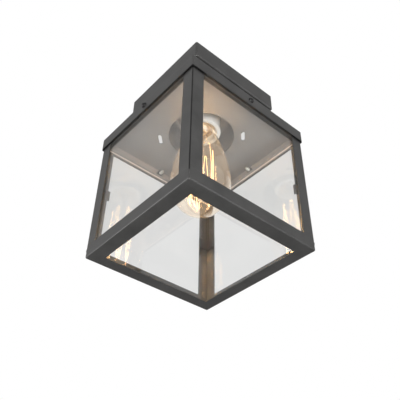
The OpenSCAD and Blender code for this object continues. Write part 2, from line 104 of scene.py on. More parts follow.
def make_piece(name, grids, joined=False, sharp=38, weighted=True):
    """One mesh from one or more closed grids, smooth except across edges sharper than the given angle."""
    grids = grids if isinstance(grids, list) else [grids]
    points, polygons, first = [], [], 0
    for grid in grids:
        own, quads, lids = shell(grid, joined, first)
        points.append(own)
        polygons += [quads, lids]
        first += len(own)
    corners = np.concatenate([p.ravel() for p in polygons]).astype(np.int32)
    sizes = np.concatenate([np.full(len(p), p.shape[1]) for p in polygons])
    mesh = bpy.data.meshes.new(name)
    mesh.vertices.add(first)
    mesh.vertices.foreach_set("co", np.concatenate(points).astype(np.float32).ravel())
    mesh.loops.add(len(corners))
    mesh.loops.foreach_set("vertex_index", corners)
    mesh.polygons.add(len(sizes))
    mesh.polygons.foreach_set("loop_start", np.concatenate([[0], np.cumsum(sizes)[:-1]]).astype(np.int32))
    mesh.polygons.foreach_set("use_smooth", np.ones(len(sizes), bool))
    mesh.update(calc_edges=True)
    mesh.validate()
    mesh.set_sharp_from_angle(angle=math.radians(sharp))
    piece = new_object(name, mesh)
    if weighted:
        normals = piece.modifiers.new("flat faces stay flat", "WEIGHTED_NORMAL")
        normals.keep_sharp = True
    return piece


def unit(vectors):
    """The same directions with length 1."""
    return vectors / np.linalg.norm(vectors, axis=1, keepdims=True)


def rounded(corners, radii, steps=5):
    """A closed outline with an arc in each corner. The arc's centre lies on the corner's bisector, where
    both sides are its tangents, and its points turn evenly from the first tangent point to the second."""
    at = np.asarray(corners, float)
    radius = np.broadcast_to(np.asarray(radii, float), len(at))[:, None]
    back, on = unit(np.roll(at, 1, 0) - at), unit(np.roll(at, -1, 0) - at)
    half = np.arccos(np.clip((back * on).sum(1, keepdims=True), -1, 1)) / 2
    centre = at + unit(back + on) * radius / np.sin(half)
    start, end = (at + side * radius / np.tan(half) - centre for side in (back, on))
    turn = (np.pi - 2 * half)[:, :, None]
    t = np.linspace(0, 1, steps)[None, :, None]
    arc = (np.sin((1 - t) * turn) * start[:, None] + np.sin(t * turn) * end[:, None]) / np.sin(turn)
    return (centre[:, None] + arc).reshape(-1, 2)


def drawn_in(outline, distance):
    """The closed outline moved inwards along its normals, which its corner arcs keep smooth."""
    on, back = np.roll(outline, -1, 0) - outline, outline - np.roll(outline, 1, 0)
    along = unit(unit(on) + unit(back))
    area = (outline[:, 0] * np.roll(outline[:, 1], -1) - outline[:, 1] * np.roll(outline[:, 0], -1)).sum()
    inwards = np.stack([-along[:, 1], along[:, 0]], 1) * np.sign(area)
    return outline + distance * inwards


def upright_bar(outline, low, high, edge):
    """An outline in plan carried from low to high. Near both ends it draws in by edge * (1 - sin a) while
    its height moves by edge * (1 - cos a), which rounds the end by a quarter circle."""
    a = np.linspace(0, np.pi / 2, 4)
    inset = edge * (1 - np.sin(a))
    rise = edge * (1 - np.cos(a))
    insets = np.concatenate([inset, inset[::-1]])
    heights = np.concatenate([low + rise, (high - rise)[::-1]])
    return np.stack([np.column_stack([drawn_in(outline, d), np.full(len(outline), z)])
                     for d, z in zip(insets, heights)])


def block(low, high, corner, edge, steps=5):
    """An upright block between two opposite corners, rounded in plan and at both ends."""
    plan = [(low[0], low[1]), (high[0], low[1]), (high[0], high[1]), (low[0], high[1])]
    return upright_bar(rounded(plan, corner, steps), low[2], high[2], edge)


def around(count):
    """Angles of the columns that go once round a surface."""
    return np.linspace(0, 2 * np.pi, count, endpoint=False)[None]


def turned(radius, angle, height):
    """Points at a radius and an angle about the upright axis. Each value may change over the grid."""
    radius, angle, height = np.broadcast_arrays(radius, angle, height)
    return np.stack([radius * np.cos(angle), radius * np.sin(angle), height], -1)


def lathe(profile, segments=96):
    """A profile of (radius, height) points turned round the upright axis."""
    radius, height = np.asarray(profile, float).T[:, :, None]
    return turned(radius, around(segments), height)


def tube(path, radius, sides, towards):
    """A round tube along a path. Each ring lies across the path, and starts on the side of the given
    directions, which are never along the path."""
    along = unit(np.gradient(path, axis=0))
    out = unit(towards - (towards * along).sum(1, keepdims=True) * along)
    across = np.cross(along, out)
    a = around(sides)[:, :, None]
    return path[:, None] + radius * (np.cos(a) * out[:, None] + np.sin(a) * across[:, None])


def smooth_step(x):
    """3x^2 - 2x^3 between 0 and 1."""
    x = np.clip(x, 0, 1)
    return x * x * (3 - 2 * x)


def on_side(grid, i):
    """The same surface turned from the right-hand side to side i, a quarter turn for each."""
    a = i * np.pi / 2
    turn = np.array([[math.cos(a), -math.sin(a), 0], [math.sin(a), math.cos(a), 0], [0, 0, 1]])
    return grid @ np.round(turn, 9).T


# ---------------- sizes, from the frame

CUT_EDGE = 0.2 * MM      # rounding of cut sheet edges under their powder coat
canopy_low, canopy_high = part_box("canopy")
CANOPY_T, CANOPY_CORNER, FOLD = 1.0 * MM, 2.0 * MM, 1.8 * MM
rail_low, rail_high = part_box("bottom_rail_right")
CAGE_HALF = rail_high.x
ANGLE_LEG = rail_high.z - rail_low.z
ANGLE_T, BEND = 1.2 * MM, 1.5 * MM
INNER_BEND = BEND - ANGLE_T
post_low, post_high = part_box("post_back_right")
top_low, top_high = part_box("top_rail_right")
TOP_FLANGE = CAGE_HALF - top_low.x
PANE_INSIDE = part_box("glass_right")[0].x


# ---------------- finishes

def new_group(name, inputs, outputs):
    """An empty shader node group with its sockets, and its input and output nodes."""
    group = bpy.data.node_groups.new(name, "ShaderNodeTree")
    for label, kind, value in inputs:
        group.interface.new_socket(label, in_out="INPUT", socket_type=kind).default_value = value
    for label, kind in outputs:
        group.interface.new_socket(label, in_out="OUTPUT", socket_type=kind)
    return group, group.nodes.new("NodeGroupInput"), group.nodes.new("NodeGroupOutput")


def add(tree, kind, **settings):
    """A node with its properties, and with the values of its inputs where the name is an input's."""
    node = tree.nodes.new(kind)
    for key, value in settings.items():
        label = key.replace("_", " ")
        if label in node.inputs:
            node.inputs[label].default_value = value
        else:
            setattr(node, key, value)
    return node


def combine(tree, operation, *values, clamp=False):
    """Output of a Math node. Each value is the output of another node, or a number."""
    node = add(tree, "ShaderNodeMath", operation=operation, use_clamp=clamp)
    for socket, value in zip(node.inputs, values):
        if isinstance(value, bpy.types.NodeSocket):
            tree.links.new(value, socket)
        else:
            socket.default_value = value
    return node.outputs[0]


GRAIN_SHARE = 0.35                  # weight of the fine grain beside the patches
MASK_LOW, MASK_HIGH = 0.45, 0.9     # sums of the two that count as 0 and as 1


def grain_group():
    """Fine grain and broad patches in Object coordinates.

    Grain makes the normal. The patches and a share of the grain make the mask, which also sets the
    roughness between two values."""
    group, given, out = new_group(
        "fine grain",
        [("Grain Scale", "NodeSocketFloat", 900.0), ("Stretch", "NodeSocketVector", (1.0, 1.0, 1.0)),
         ("Grain Depth", "NodeSocketFloat", 0.00002), ("Patch Scale", "NodeSocketFloat", 25.0),
         ("Rough Low", "NodeSocketFloat", 0.4), ("Rough High", "NodeSocketFloat", 0.5)],
        [("Mask", "NodeSocketFloat"), ("Roughness", "NodeSocketFloat"), ("Normal", "NodeSocketVector")])
    link = group.links.new
    place = add(group, "ShaderNodeTexCoord")
    drawn = add(group, "ShaderNodeVectorMath", operation="MULTIPLY")
    link(place.outputs["Object"], drawn.inputs[0])
    link(given.outputs["Stretch"], drawn.inputs[1])
    grain = add(group, "ShaderNodeTexNoise", Detail=3.0, Roughness=0.55)
    link(drawn.outputs[0], grain.inputs["Vector"])
    link(given.outputs["Grain Scale"], grain.inputs["Scale"])
    patches = add(group, "ShaderNodeTexNoise", Detail=4.0, Roughness=0.6)
    link(place.outputs["Object"], patches.inputs["Vector"])
    link(given.outputs["Patch Scale"], patches.inputs["Scale"])
    both = combine(group, "MULTIPLY_ADD", grain.outputs["Fac"], GRAIN_SHARE, patches.outputs["Fac"])
    spread = add(group, "ShaderNodeMapRange")
    spread.inputs["From Min"].default_value = MASK_LOW
    spread.inputs["From Max"].default_value = MASK_HIGH
    link(both, spread.inputs["Value"])
    rough = add(group, "ShaderNodeMapRange")
    link(spread.outputs[0], rough.inputs["Value"])
    link(given.outputs["Rough Low"], rough.inputs["To Min"])
    link(given.outputs["Rough High"], rough.inputs["To Max"])
    bump = add(group, "ShaderNodeBump", Strength=1.0)
    link(given.outputs["Grain Depth"], bump.inputs["Distance"])
    link(grain.outputs["Fac"], bump.inputs["Height"])
    link(spread.outputs[0], out.inputs["Mask"])
    link(rough.outputs[0], out.inputs["Roughness"])
    link(bump.outputs["Normal"], out.inputs["Normal"])
    return group


GRAIN = grain_group()
LINE_BOX = ("Foot", "Top", "Inside", "Outside")


def square_line_group(name, choice):
    """Mask of a line on the square cage, in Object coordinates.

    It is 1 where the height lies between Foot and Top, and the chosen one of |x| and |y| between Inside
    and Outside. The larger one (MAXIMUM) gives a line round the cage, and the smaller one (MINIMUM) a
    line down each of its corners."""
    group, given, out = new_group(name, [(label, "NodeSocketFloat", 0.0) for label in LINE_BOX],
                                  [("Mask", "NodeSocketFloat")])
    link = group.links.new
    place = add(group, "ShaderNodeTexCoord")
    size = add(group, "ShaderNodeVectorMath", operation="ABSOLUTE")
    parts, sizes = add(group, "ShaderNodeSeparateXYZ"), add(group, "ShaderNodeSeparateXYZ")
    link(place.outputs["Object"], parts.inputs[0])
    link(place.outputs["Object"], size.inputs[0])
    link(size.outputs[0], sizes.inputs[0])
    reach = combine(group, choice, sizes.outputs["X"], sizes.outputs["Y"])
    tests = (("GREATER_THAN", parts.outputs["Z"], "Foot"), ("LESS_THAN", parts.outputs["Z"], "Top"),
             ("GREATER_THAN", reach, "Inside"), ("LESS_THAN", reach, "Outside"))
    mask = None
    for operation, value, limit in tests:
        test = combine(group, operation, value, given.outputs[limit])
        mask = test if mask is None else combine(group, "MULTIPLY", mask, test)
    link(mask, out.inputs["Mask"])
    return group


SQUARE_LINE = square_line_group("line round the cage", "MAXIMUM")
# the corner line carries painted shade down the corner of each post
CORNER_SHADE_LINE = square_line_group("painted shade down the corners", "MINIMUM")


def finish(name, dark, light, grain, stretch=(1.0, 1.0, 1.0), depth=0.02, patch=25.0, rough=(0.4, 0.5),
           **shader):
    """A Principled material whose colour runs from dark to light with the grain group's mask.

    grain is in cycles per metre and depth in millimetres."""
    material = bpy.data.materials.new(name)
    material.use_nodes = True
    tree = material.node_tree
    principled = tree.nodes["Principled BSDF"]
    for label, value in shader.items():
        principled.inputs[label.replace("_", " ")].default_value = value
    texture = add(tree, "ShaderNodeGroup", node_tree=GRAIN)
    texture.inputs["Grain Scale"].default_value = grain
    texture.inputs["Stretch"].default_value = stretch
    texture.inputs["Grain Depth"].default_value = depth * MM
    texture.inputs["Patch Scale"].default_value = patch
    texture.inputs["Rough Low"].default_value, texture.inputs["Rough High"].default_value = rough
    mix = add(tree, "ShaderNodeMix", data_type="RGBA")
    mix.inputs["A"].default_value = (*dark, 1)
    mix.inputs["B"].default_value = (*light, 1)
    tree.links.new(texture.outputs["Mask"], mix.inputs["Factor"])
    tree.links.new(mix.outputs["Result"], principled.inputs["Base Color"])
    tree.links.new(texture.outputs["Roughness"], principled.inputs["Roughness"])
    tree.links.new(texture.outputs["Normal"], principled.inputs["Normal"])
    return material


def paint_light_lines(material, lines, colour, label, elsewhere, on_line):
    """Lines of painted shade or painted highlight on the cage. Each is a line group and its box (foot, top,
    inside, outside), and one more socket changes with them, from its value elsewhere to its value on a line."""
    tree = material.node_tree
    principled = tree.nodes["Principled BSDF"]
    mask = add(tree, "ShaderNodeMath", operation="ADD", use_clamp=True)
    mask.inputs[1].default_value = 0.0    # stays where there is only one line
    for k, (group, box) in enumerate(lines):
        line = add(tree, "ShaderNodeGroup", node_tree=group)
        for name, value in zip(LINE_BOX, box):
            line.inputs[name].default_value = value
        tree.links.new(line.outputs["Mask"], mask.inputs[k])
    over = add(tree, "ShaderNodeMix", data_type="RGBA")
    over.inputs["B"].default_value = (*colour, 1)
    tree.links.new(principled.inputs["Base Color"].links[0].from_socket, over.inputs["A"])
    tree.links.new(mask.outputs[0], over.inputs["Factor"])
    tree.links.new(over.outputs["Result"], principled.inputs["Base Color"])
    change = add(tree, "ShaderNodeMapRange")
    change.inputs["To Min"].default_value = elsewhere
    change.inputs["To Max"].default_value = on_line
    tree.links.new(mask.outputs[0], change.inputs["Value"])
    tree.links.new(change.outputs[0], principled.inputs[label])


GLASS_PASSES = (0.93, 0.93, 0.92, 1)    # colour of the light that has come through glass


def clear_glass(name, tint, ior, **grain):
    """Glass for the rays that the eye follows, and open to the rays that carry light to what is behind it."""
    material = finish(name, tint, tint, Transmission_Weight=1.0, IOR=ior, **grain)
    tree = material.node_tree
    path = add(tree, "ShaderNodeLightPath")
    lit = combine(tree, "ADD", path.outputs["Is Shadow Ray"], path.outputs["Is Diffuse Ray"])
    through = add(tree, "ShaderNodeBsdfTransparent", Color=GLASS_PASSES)
    choice = add(tree, "ShaderNodeMixShader")
    tree.links.new(lit, choice.inputs[0])
    tree.links.new(tree.nodes["Principled BSDF"].outputs[0], choice.inputs[1])
    tree.links.new(through.outputs[0], choice.inputs[2])
    tree.links.new(choice.outputs[0], tree.nodes["Material Output"].inputs["Surface"])
    return material


def glow(name, colour, seen, given):
    """Glowing wire. Seen straight through the glass it has one strength, and the light that it gives to
    other pieces, which has been reflected at least once, has another."""
    material = finish(name, (0.9, 0.6, 0.3), (1.0, 0.8, 0.5), grain=300, rough=(0.5, 0.6))
    tree = material.node_tree
    principled = tree.nodes["Principled BSDF"]
    principled.inputs["Emission Color"].default_value = (*colour, 1)
    path = add(tree, "ShaderNodeLightPath")
    bounced = combine(tree, "ADD", path.outputs["Diffuse Depth"], path.outputs["Glossy Depth"])
    strength = add(tree, "ShaderNodeMapRange")
    strength.inputs["To Min"].default_value = seen
    strength.inputs["To Max"].default_value = given
    tree.links.new(bounced, strength.inputs["Value"])
    tree.links.new(strength.outputs[0], principled.inputs["Emission Strength"])
    return material


POWDER_GRAIN = {"grain": 1400, "depth": 0.012, "patch": 45, "rough": (0.42, 0.52)}
POWDER = finish("black_powder_coat", (0.026, 0.0255, 0.025), (0.050, 0.049, 0.0475), **POWDER_GRAIN,
                Coat_Roughness=0.24)
# the two far top rails are painted paler than the rest of the frame: painted light, for the bulb's light on
# the rails that face it
BULB_LIT_POWDER = finish("powder_coat_painted_bulb_light", (0.22, 0.195, 0.175), (0.27, 0.24, 0.215), **POWDER_GRAIN)

# painted light lines: painted shade under the skirt, a painted highlight along the panes' top edge, painted
# shade down the corner of each post
PAST_ALL = 1.0    # an outside limit that nothing reaches
SKIRT_SHADE_DOWN, SKIRT_SHADE_UP, SKIRT_SHADE_IN = 1.3 * MM, 0.5 * MM, 1.25 * MM
PANE_GLINT_HALF, PANE_GLINT_IN = 0.1 * MM, 1.0 * MM
CORNER_SHADE_DOWN, CORNER_SHADE_IN = 3.5 * MM, 0.9 * MM
SKIRT_SHADE_BOX = (top_low.z - SKIRT_SHADE_DOWN, top_low.z + SKIRT_SHADE_UP, top_high.x - SKIRT_SHADE_IN, PAST_ALL)
PANE_GLINT_BOX = (top_low.z - PANE_GLINT_HALF, top_low.z + PANE_GLINT_HALF,
                 PANE_INSIDE - PANE_GLINT_IN, PANE_INSIDE + PANE_GLINT_HALF)
CORNER_SHADE_BOX = (rail_high.z - CORNER_SHADE_DOWN, top_low.z, rail_high.x - CORNER_SHADE_IN, PAST_ALL)
# painted shade: a near-black line under the skirt and down the corner of each post, where the coat is taken
# away
paint_light_lines(POWDER, [(SQUARE_LINE, SKIRT_SHADE_BOX), (CORNER_SHADE_LINE, CORNER_SHADE_BOX)], (0.004, 0.004, 0.004),
          "Coat Weight", elsewhere=0.6, on_line=0.0)
# painted highlight: a pale, partly metallic line on the far rails along the panes' top edge
paint_light_lines(BULB_LIT_POWDER, [(SQUARE_LINE, PANE_GLINT_BOX)], (0.95, 0.80, 0.68),
          "Metallic", elsewhere=0.0, on_line=0.6)
BLACKENED = finish("blackened_screws", (0.010, 0.010, 0.011), (0.022, 0.021, 0.020), grain=900, depth=0.006,
                   patch=90, rough=(0.20, 0.30))
GREY_STEEL = finish("satin_grey_steel", (0.27, 0.26, 0.25), (0.33, 0.32, 0.31), grain=500,
                    stretch=(0.12, 1.0, 1.0), depth=0.004, patch=12, rough=(0.50, 0.60), Metallic=0.7)
PORCELAIN = finish("white_porcelain", (0.90, 0.91, 0.90), (0.94, 0.95, 0.94), grain=260, depth=0.01, patch=60,
                   rough=(0.12, 0.22), Coat_Weight=0.6, Coat_Roughness=0.06)
BRASS = finish("brass", (0.62, 0.44, 0.19), (0.80, 0.62, 0.33), grain=700, depth=0.004, patch=110,
               rough=(0.22, 0.4), Metallic=1.0)
ZINC = finish("zinc_plate", (0.50, 0.50, 0.48), (0.66, 0.66, 0.62), grain=800, stretch=(0.2, 1.0, 1.0),
              depth=0.004, patch=70, rough=(0.25, 0.42), Metallic=1.0)
GREEN = finish("green_earth_screw", (0.05, 0.19, 0.07), (0.09, 0.28, 0.11), grain=800, depth=0.004, patch=120,
               rough=(0.25, 0.4), Metallic=0.7)
SOLDER = finish("solder", (0.45, 0.45, 0.44), (0.62, 0.62, 0.60), grain=1200, depth=0.03, patch=300,
                rough=(0.35, 0.55), Metallic=1.0)
VITRITE = finish("black_vitrite", (0.012, 0.012, 0.016), (0.022, 0.022, 0.028), grain=500, depth=0.01,
                 patch=150, rough=(0.12, 0.25))
WIRE = finish("support_wire", (0.36, 0.33, 0.30), (0.5, 0.47, 0.43), grain=900, depth=0.002, patch=200,
              rough=(0.3, 0.45), Metallic=1.0)
PANE_GLASS = clear_glass("clear_pane", (0.985, 0.99, 0.985), 1.48, grain=14, depth=0.004, patch=8,
                         rough=(0.0, 0.012))
# the bulb glass's weak warm emission is a painted glow for the filament's light scattered inside the glass
LAMP_GLASS = clear_glass("bulb_glass", (0.99, 0.97, 0.92), 1.46, grain=18, depth=0.006, patch=8,
                         rough=(0.0, 0.012), Emission_Color=(1.0, 0.68, 0.42, 1), Emission_Strength=0.045)
FILAMENT = glow("glowing_filament", (1.0, 0.61, 0.28), 2.8, 80.0)

SLOT_FINISH = {
    "black_powder_coat": POWDER, "blackened_screws": BLACKENED, "satin_grey_steel": GREY_STEEL,
    "clear_pane": PANE_GLASS, "zinc_plate": ZINC, "green_earth_screw": GREEN, "white_porcelain": PORCELAIN,
    "brass": BRASS, "solder": SOLDER, "black_vitrite": VITRITE, "bulb_glass": LAMP_GLASS,
    "glowing_filament": FILAMENT, "support_wire": WIRE,
}
NODE_SLOT = {part["node"]: part["material_slot"] for part in frame["record"]["subparts"]}


def dress(piece, node, body=LANTERN):
    """The new piece stands for a CAD node: it rides on its body and takes its finish."""
    slot = NODE_SLOT[node]
    piece.data.materials.append(SLOT_FINISH[slot])
    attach(piece, body)
    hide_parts(node)
    return piece


def paint_cad_nodes():
    """CAD nodes whose shape is right keep their mesh and take the finish of their slot."""
    for node, shape in frame["nodes"].items():
        if not shape.hide_render:
            shape.data.materials.clear()
            shape.data.materials.append(SLOT_FINISH[NODE_SLOT[node]])


# ---------------- sheet and angle

def square_rows(half, corner, insets, heights, steps=7):
    """Rows round a square with round corners. A row at inset d is the square drawn in by d, so that its
    corner radius is corner - d, or nearly nothing past that."""
    least = 0.05 * MM
    a = (np.linspace(0, np.pi / 2, steps)[None] + np.arange(4)[:, None] * np.pi / 2).ravel()
    quarter = np.repeat(np.arange(4) * np.pi / 2 + np.pi / 4, steps)
    sign = np.sqrt(2) * np.stack([np.cos(quarter), np.sin(quarter)], 1)
    insets = np.asarray(insets)[:, None, None]
    radius = np.maximum(corner - insets, least)
    plan = (half - insets - radius) * sign[None] + radius * np.stack([np.cos(a), np.sin(a)], 1)[None]
    heights = np.broadcast_to(np.asarray(heights)[:, None, None], (*plan.shape[:2], 1))
    return np.concatenate([plan, heights], -1)


def canopy():
    """A folded tray: its profile goes out along the underside, round the fold, up the wall, over the rim
    and back inside. Each profile point is one row round the square, and the innermost rows are circles."""
    half, hole = canopy_high.x, 5.1 * MM
    floor, rim = canopy_low.z, canopy_high.z
    a = np.linspace(0, np.pi / 2, 7)
    inner = FOLD - CANOPY_T
    out_fold = np.stack([FOLD * (1 - np.sin(a)), floor + FOLD * (1 - np.cos(a))], 1)
    lip = np.stack([CANOPY_T / 2 * (1 - np.cos(2 * a)), rim - CANOPY_T / 2 + CANOPY_T / 2 * np.sin(2 * a)], 1)
    in_fold = np.stack([CANOPY_T + inner * (1 - np.cos(a)), floor + FOLD - inner * np.sin(a)], 1)
    profile = np.concatenate([out_fold, lip, in_fold])
    rows = square_rows(half, CANOPY_CORNER, profile[:, 0], profile[:, 1])
    circle = hole * unit(rows[0, :, :2])
    ends = [np.column_stack([circle, np.full(len(circle), z)])[None] for z in (floor, floor + CANOPY_T)]
    return np.concatenate([ends[0], rows, ends[1]])


def angle_section(across, up, bend):
    """Section of steel angle with a leg along each axis, and a bend of the given radius outside at (0, 0)."""
    wall = ANGLE_T
    corners = [(0, 0), (across, 0), (across, wall), (wall, wall), (wall, up), (0, up)]
    return rounded(corners, [bend, CUT_EDGE, CUT_EDGE, INNER_BEND, CUT_EDGE, CUT_EDGE])


def rail(section):
    """One mitred side of a square ring, from a closed section of (depth from the outer face, height).

    Every point runs straight along the side. A point less deep than the ring's corner radius then turns
    about the corner's centre by 45 degrees, up to the mitre, and a deeper one meets the mitre straight on.
    At the mitre the section draws in by the seam, which leaves a faint line between two sides."""
    corner, ease, seam = BEND, 0.05 * MM, 0.06 * MM
    share = np.linspace(0, 1, 5)

    def row(outline, s, way):
        depth, height = outline.T
        radius = np.maximum(corner - depth, 0)
        deep = CAGE_HALF - np.maximum(depth, corner)
        x = deep + radius * np.cos(s * np.pi / 4)
        y = deep - ease * (1 - s) + radius * np.sin(s * np.pi / 4)
        return np.stack([x, way * y, height], -1)

    drawn = drawn_in(section, seam)
    half = [row(section, s, 1) for s in share] + [row(drawn, 1, 1)]
    other = [row(drawn, 1, -1)] + [row(section, s, -1) for s in share[::-1]]
    return np.stack(other + half)


def build_frame():
    """Canopy, four posts and two rings of four rails.

    The posts' angle points into each corner. The bottom ring's bend is at its foot, with the tall leg
    outside. The top ring's tall leg stands behind the skirt, and its short flange turns in over the panes."""
    dress(make_piece("canopy_sheet", canopy(), joined=True), "canopy")
    even = angle_section(ANGLE_LEG, ANGLE_LEG, BEND)
    flanged = angle_section(TOP_FLANGE, top_high.z - top_low.z, CUT_EDGE)
    post = upright_bar(CAGE_HALF - even, post_low.z, post_high.z, CUT_EDGE)
    for i, corner in enumerate(POSTS):
        dress(make_piece("corner_post_" + corner, on_side(post, i)), "post_" + corner)
    for ring, section in (("bottom_rail", even + (0, rail_low.z)), ("top_rail", flanged + (0, top_low.z))):
        for i, side in enumerate(SIDES):
            piece = dress(make_piece(ring + "_angle_" + side, on_side(rail(section), i)), ring + "_" + side)
            # painted light: the far top rails take the paler powder coat, a lit copy of the black one
            if ring == "top_rail" and side in FAR_SIDES:
                piece.data.materials[0] = BULB_LIT_POWDER


def build_weld_spots():
    """The tack weld at each corner, where post and rails meet: a small upright ellipsoid whose radius
    changes by sines of its two angles. It is ground nearly flush and painted over."""
    pole = 0.02
    t, a = np.linspace(pole, np.pi - pole, 24)[:, None], around(32)
    uneven = 1 + 0.14 * np.sin(3 * a + 5 * t) * np.sin(t) + 0.10 * np.sin(7 * t + 2 * a)
    wide, tall, set_in, below_top = 1.15 * MM, 2.4 * MM, 1.0 * MM, 6 * MM
    spot = turned(wide * uneven * np.sin(t), a, tall * uneven * np.cos(t))
    corner = np.array([CAGE_HALF - set_in, CAGE_HALF - set_in, rail_high.z - below_top])
    spots = [on_side(spot + corner, i) for i in range(4)]
    piece = make_piece("weld_spots", spots, sharp=80, weighted=False)
    piece.data.materials.append(POWDER)
    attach(piece, LANTERN)


def build_neck_cup():
    """Deep-drawn cup: a closed profile turned round, with a wide curve where the wall turns into the floor
    under the canopy and a smaller one where it spreads into the flange on the cap."""
    low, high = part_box("neck_cup")
    wall, flange, play = 1.2 * MM, 6.5 * MM, 0.1 * MM
    outer, hole = high.x - flange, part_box("nipple")[1].x + play
    corners = [(high.x, low.z), (high.x, low.z + wall), (outer, low.z + wall), (outer, high.z),
               (hole, high.z), (hole, high.z - wall), (outer - wall, high.z - wall), (outer - wall, low.z)]
    radii = np.array([0.3, 0.3, 1.0, 8.0, 0.2, 0.2, 6.8, 0.4]) * MM
    dress(make_piece("drawn_neck_cup", lathe(rounded(corners, radii, 8)), joined=True), "neck_cup")


# ---------------- panes and clips

def build_panes():
    """Each pane is a slab whose four long and eight short edges are ground to a fine arris. Its top edge
    just reaches into the flange over it."""
    low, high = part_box("glass_right")
    arris, reach = 0.25 * MM, 0.02 * MM
    high.z = top_low.z + reach
    slab = block(low, high, arris, arris, 2)
    for i, side in enumerate(SIDES):
        dress(make_piece("pane_" + side, on_side(slab, i), sharp=20), "glass_" + side)


def build_clips():
    """A bent spring strip in each corner: two arms along the panes, one rounded elbow, and lips that
    turn away from the glass at both ends. A web joins each elbow to its post."""
    low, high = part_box("glass_clips")
    foot, top = low.z + 1.5 * MM, high.z + 4.5 * MM    # the strip stands a little higher than its solid
    outer, wall, arm, bend, lip, tip = PANE_INSIDE, 0.8 * MM, 11.2 * MM, 1.6 * MM, 0.5 * MM, 0.12 * MM
    end, lip_in = outer - wall - arm, outer - lip - 0.9 * wall
    side = [(end, outer), (end - lip, outer - lip), (end - lip, lip_in), (end, outer - wall)]
    radii = [0.6 * MM, tip, tip, 0.4 * MM]
    plan = [(outer, outer), *side, (outer - wall, outer - wall), *[(y, x) for x, y in side[::-1]]]
    strip = upright_bar(rounded(plan, [bend, *radii, bend - wall, *radii[::-1]]), foot, top, tip)
    web_in, web_out, shorter = outer - wall, CAGE_HALF - ANGLE_T, 1 * MM
    web = block((web_in, web_in, foot + shorter), (web_out, web_out, top - shorter),
                corner=0.15 * MM, edge=tip)
    clips = [on_side(grid, i) for i in range(4) for grid in (strip, web)]
    dress(make_piece("pane_clips", clips), "glass_clips")


# ---------------- screws, nuts and threads

M4 = {"radius": 2.0 * MM, "depth": 0.25 * MM, "pitch": 0.7 * MM}
LAY_DOWN = np.array([[0, 0, 1], [0, 1, 0], [-1, 0, 0]])    # turns what points up towards the right


def bored(grid, bore, low, high):
    """The same bar with a plain hole down its axis. The rows then join into a ring."""
    return np.concatenate([grid, lathe([(bore, high), (bore, low)], grid.shape[1])])


def pair(grid, x):
    """Two of the same piece, one on each side of the axis."""
    return [grid + (s * x, 0, 0) for s in (-1, 1)]


def threaded(radius, depth, pitch, low, high, segments=24, per_turn=8):
    """A screw thread: at height z and angle a the radius falls by depth times a triangle wave of
    z / pitch - a / turn. The wave fades out within one pitch of either end, where a chamfer begins."""
    rows = int(np.ceil((high - low) / pitch * per_turn)) + 1
    z = np.linspace(low, high, rows)[:, None]
    a = around(segments)
    phase = z / pitch - a / (2 * np.pi)
    wave = np.abs(2 * (phase - np.floor(phase)) - 1)
    from_end, chamfer_tall = np.minimum(z - low, high - z), 0.8 * pitch
    chamfer = depth * (1 - smooth_step(from_end / chamfer_tall))
    return turned(radius - chamfer - depth * wave * smooth_step(from_end / pitch), a, z)


def hexagon_nut(flats, low, high, segments=72):
    """A hexagon bar whose corners are cut by a 30 degree cone at the ends. Its radius at angle a is
    half the flats over cos(a, folded into one side), and the cone limits it near the ends."""
    a = around(segments)
    folded = (a + np.pi / 6) % (np.pi / 3) - np.pi / 6
    height, end_face = high - low, 0.96
    z = np.array([0, 0.04, 0.1, 0.16, 0.5, 0.84, 0.9, 0.96, 1])[:, None] * height
    cone = flats / 2 * end_face + np.minimum(z, height - z) * math.sqrt(3)
    return turned(np.minimum(flats / 2 / np.cos(folded), cone), a, low + z)


def acorn_nut(flats, low, high, dome):
    """A hexagon nut closed below by a dome, a half ball that is very slightly flattened."""
    nut, flattened = hexagon_nut(flats, low, high), 0.96
    t = np.linspace(0.02, 0.5, 9) * np.pi
    cap = lathe(np.stack([dome * np.sin(t), low - dome * np.cos(t) * flattened], 1), nut.shape[1])
    return np.concatenate([cap, nut])


def screw_head(radius, height, segments=64):
    """A round head with a cross recess: a ball cap over a short rim, and from its height at (x, y) the
    recess takes away its depth inside two crossed slots, whose walls slope."""
    rim, foot_round = 0.8 * MM, 0.1 * MM
    ball = (radius ** 2 + (height - rim) ** 2) / (2 * (height - rim))
    r = np.concatenate([[0.02 * MM], np.linspace(0.08 * MM, radius, 30)])[:, None]
    a = around(segments)
    x, y = abs(r * np.cos(a)), abs(r * np.sin(a))
    cap = height - ball + np.sqrt(ball ** 2 - r ** 2)
    slot_half, slot_reach, slope, deep = 0.42 * MM, 1.7 * MM, 0.22 * MM, 1.1 * MM
    narrow, far = np.minimum(x, y), np.maximum(x, y)
    inside = smooth_step((slot_half - narrow) / slope + 0.5) * smooth_step((slot_reach - far) / (2.5 * slope))
    skirt = lathe([(radius, rim / 2), (0.982 * radius, foot_round), (0.94 * radius, 0)], segments)
    return np.concatenate([turned(r, a, cap - deep * inside), skirt])


def build_side_screws():
    """Head outside the skirt, threaded shank through skirt, top rail and weld nut, turned to each side.
    The heads are blackened and the shanks are bare zinc."""
    low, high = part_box("side_screw_right")
    cap_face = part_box("roof_cap")[1].x
    head = screw_head((high.z - low.z) / 2, high.x - cap_face)
    shank = threaded(low=low.x - cap_face, high=0.0, **M4)
    seat = np.array([cap_face, 0, (low.z + high.z) / 2])
    for i, side in enumerate(SIDES):
        for name, grid in (("cover_screw_head_", head), ("cover_screw_shank_", shank)):
            placed = on_side(grid @ LAY_DOWN.T + seat, i)
            piece = dress(make_piece(name + side, placed), "side_screw_" + side, "screw_" + side)
            if grid is shank:
                piece.data.materials[0] = ZINC


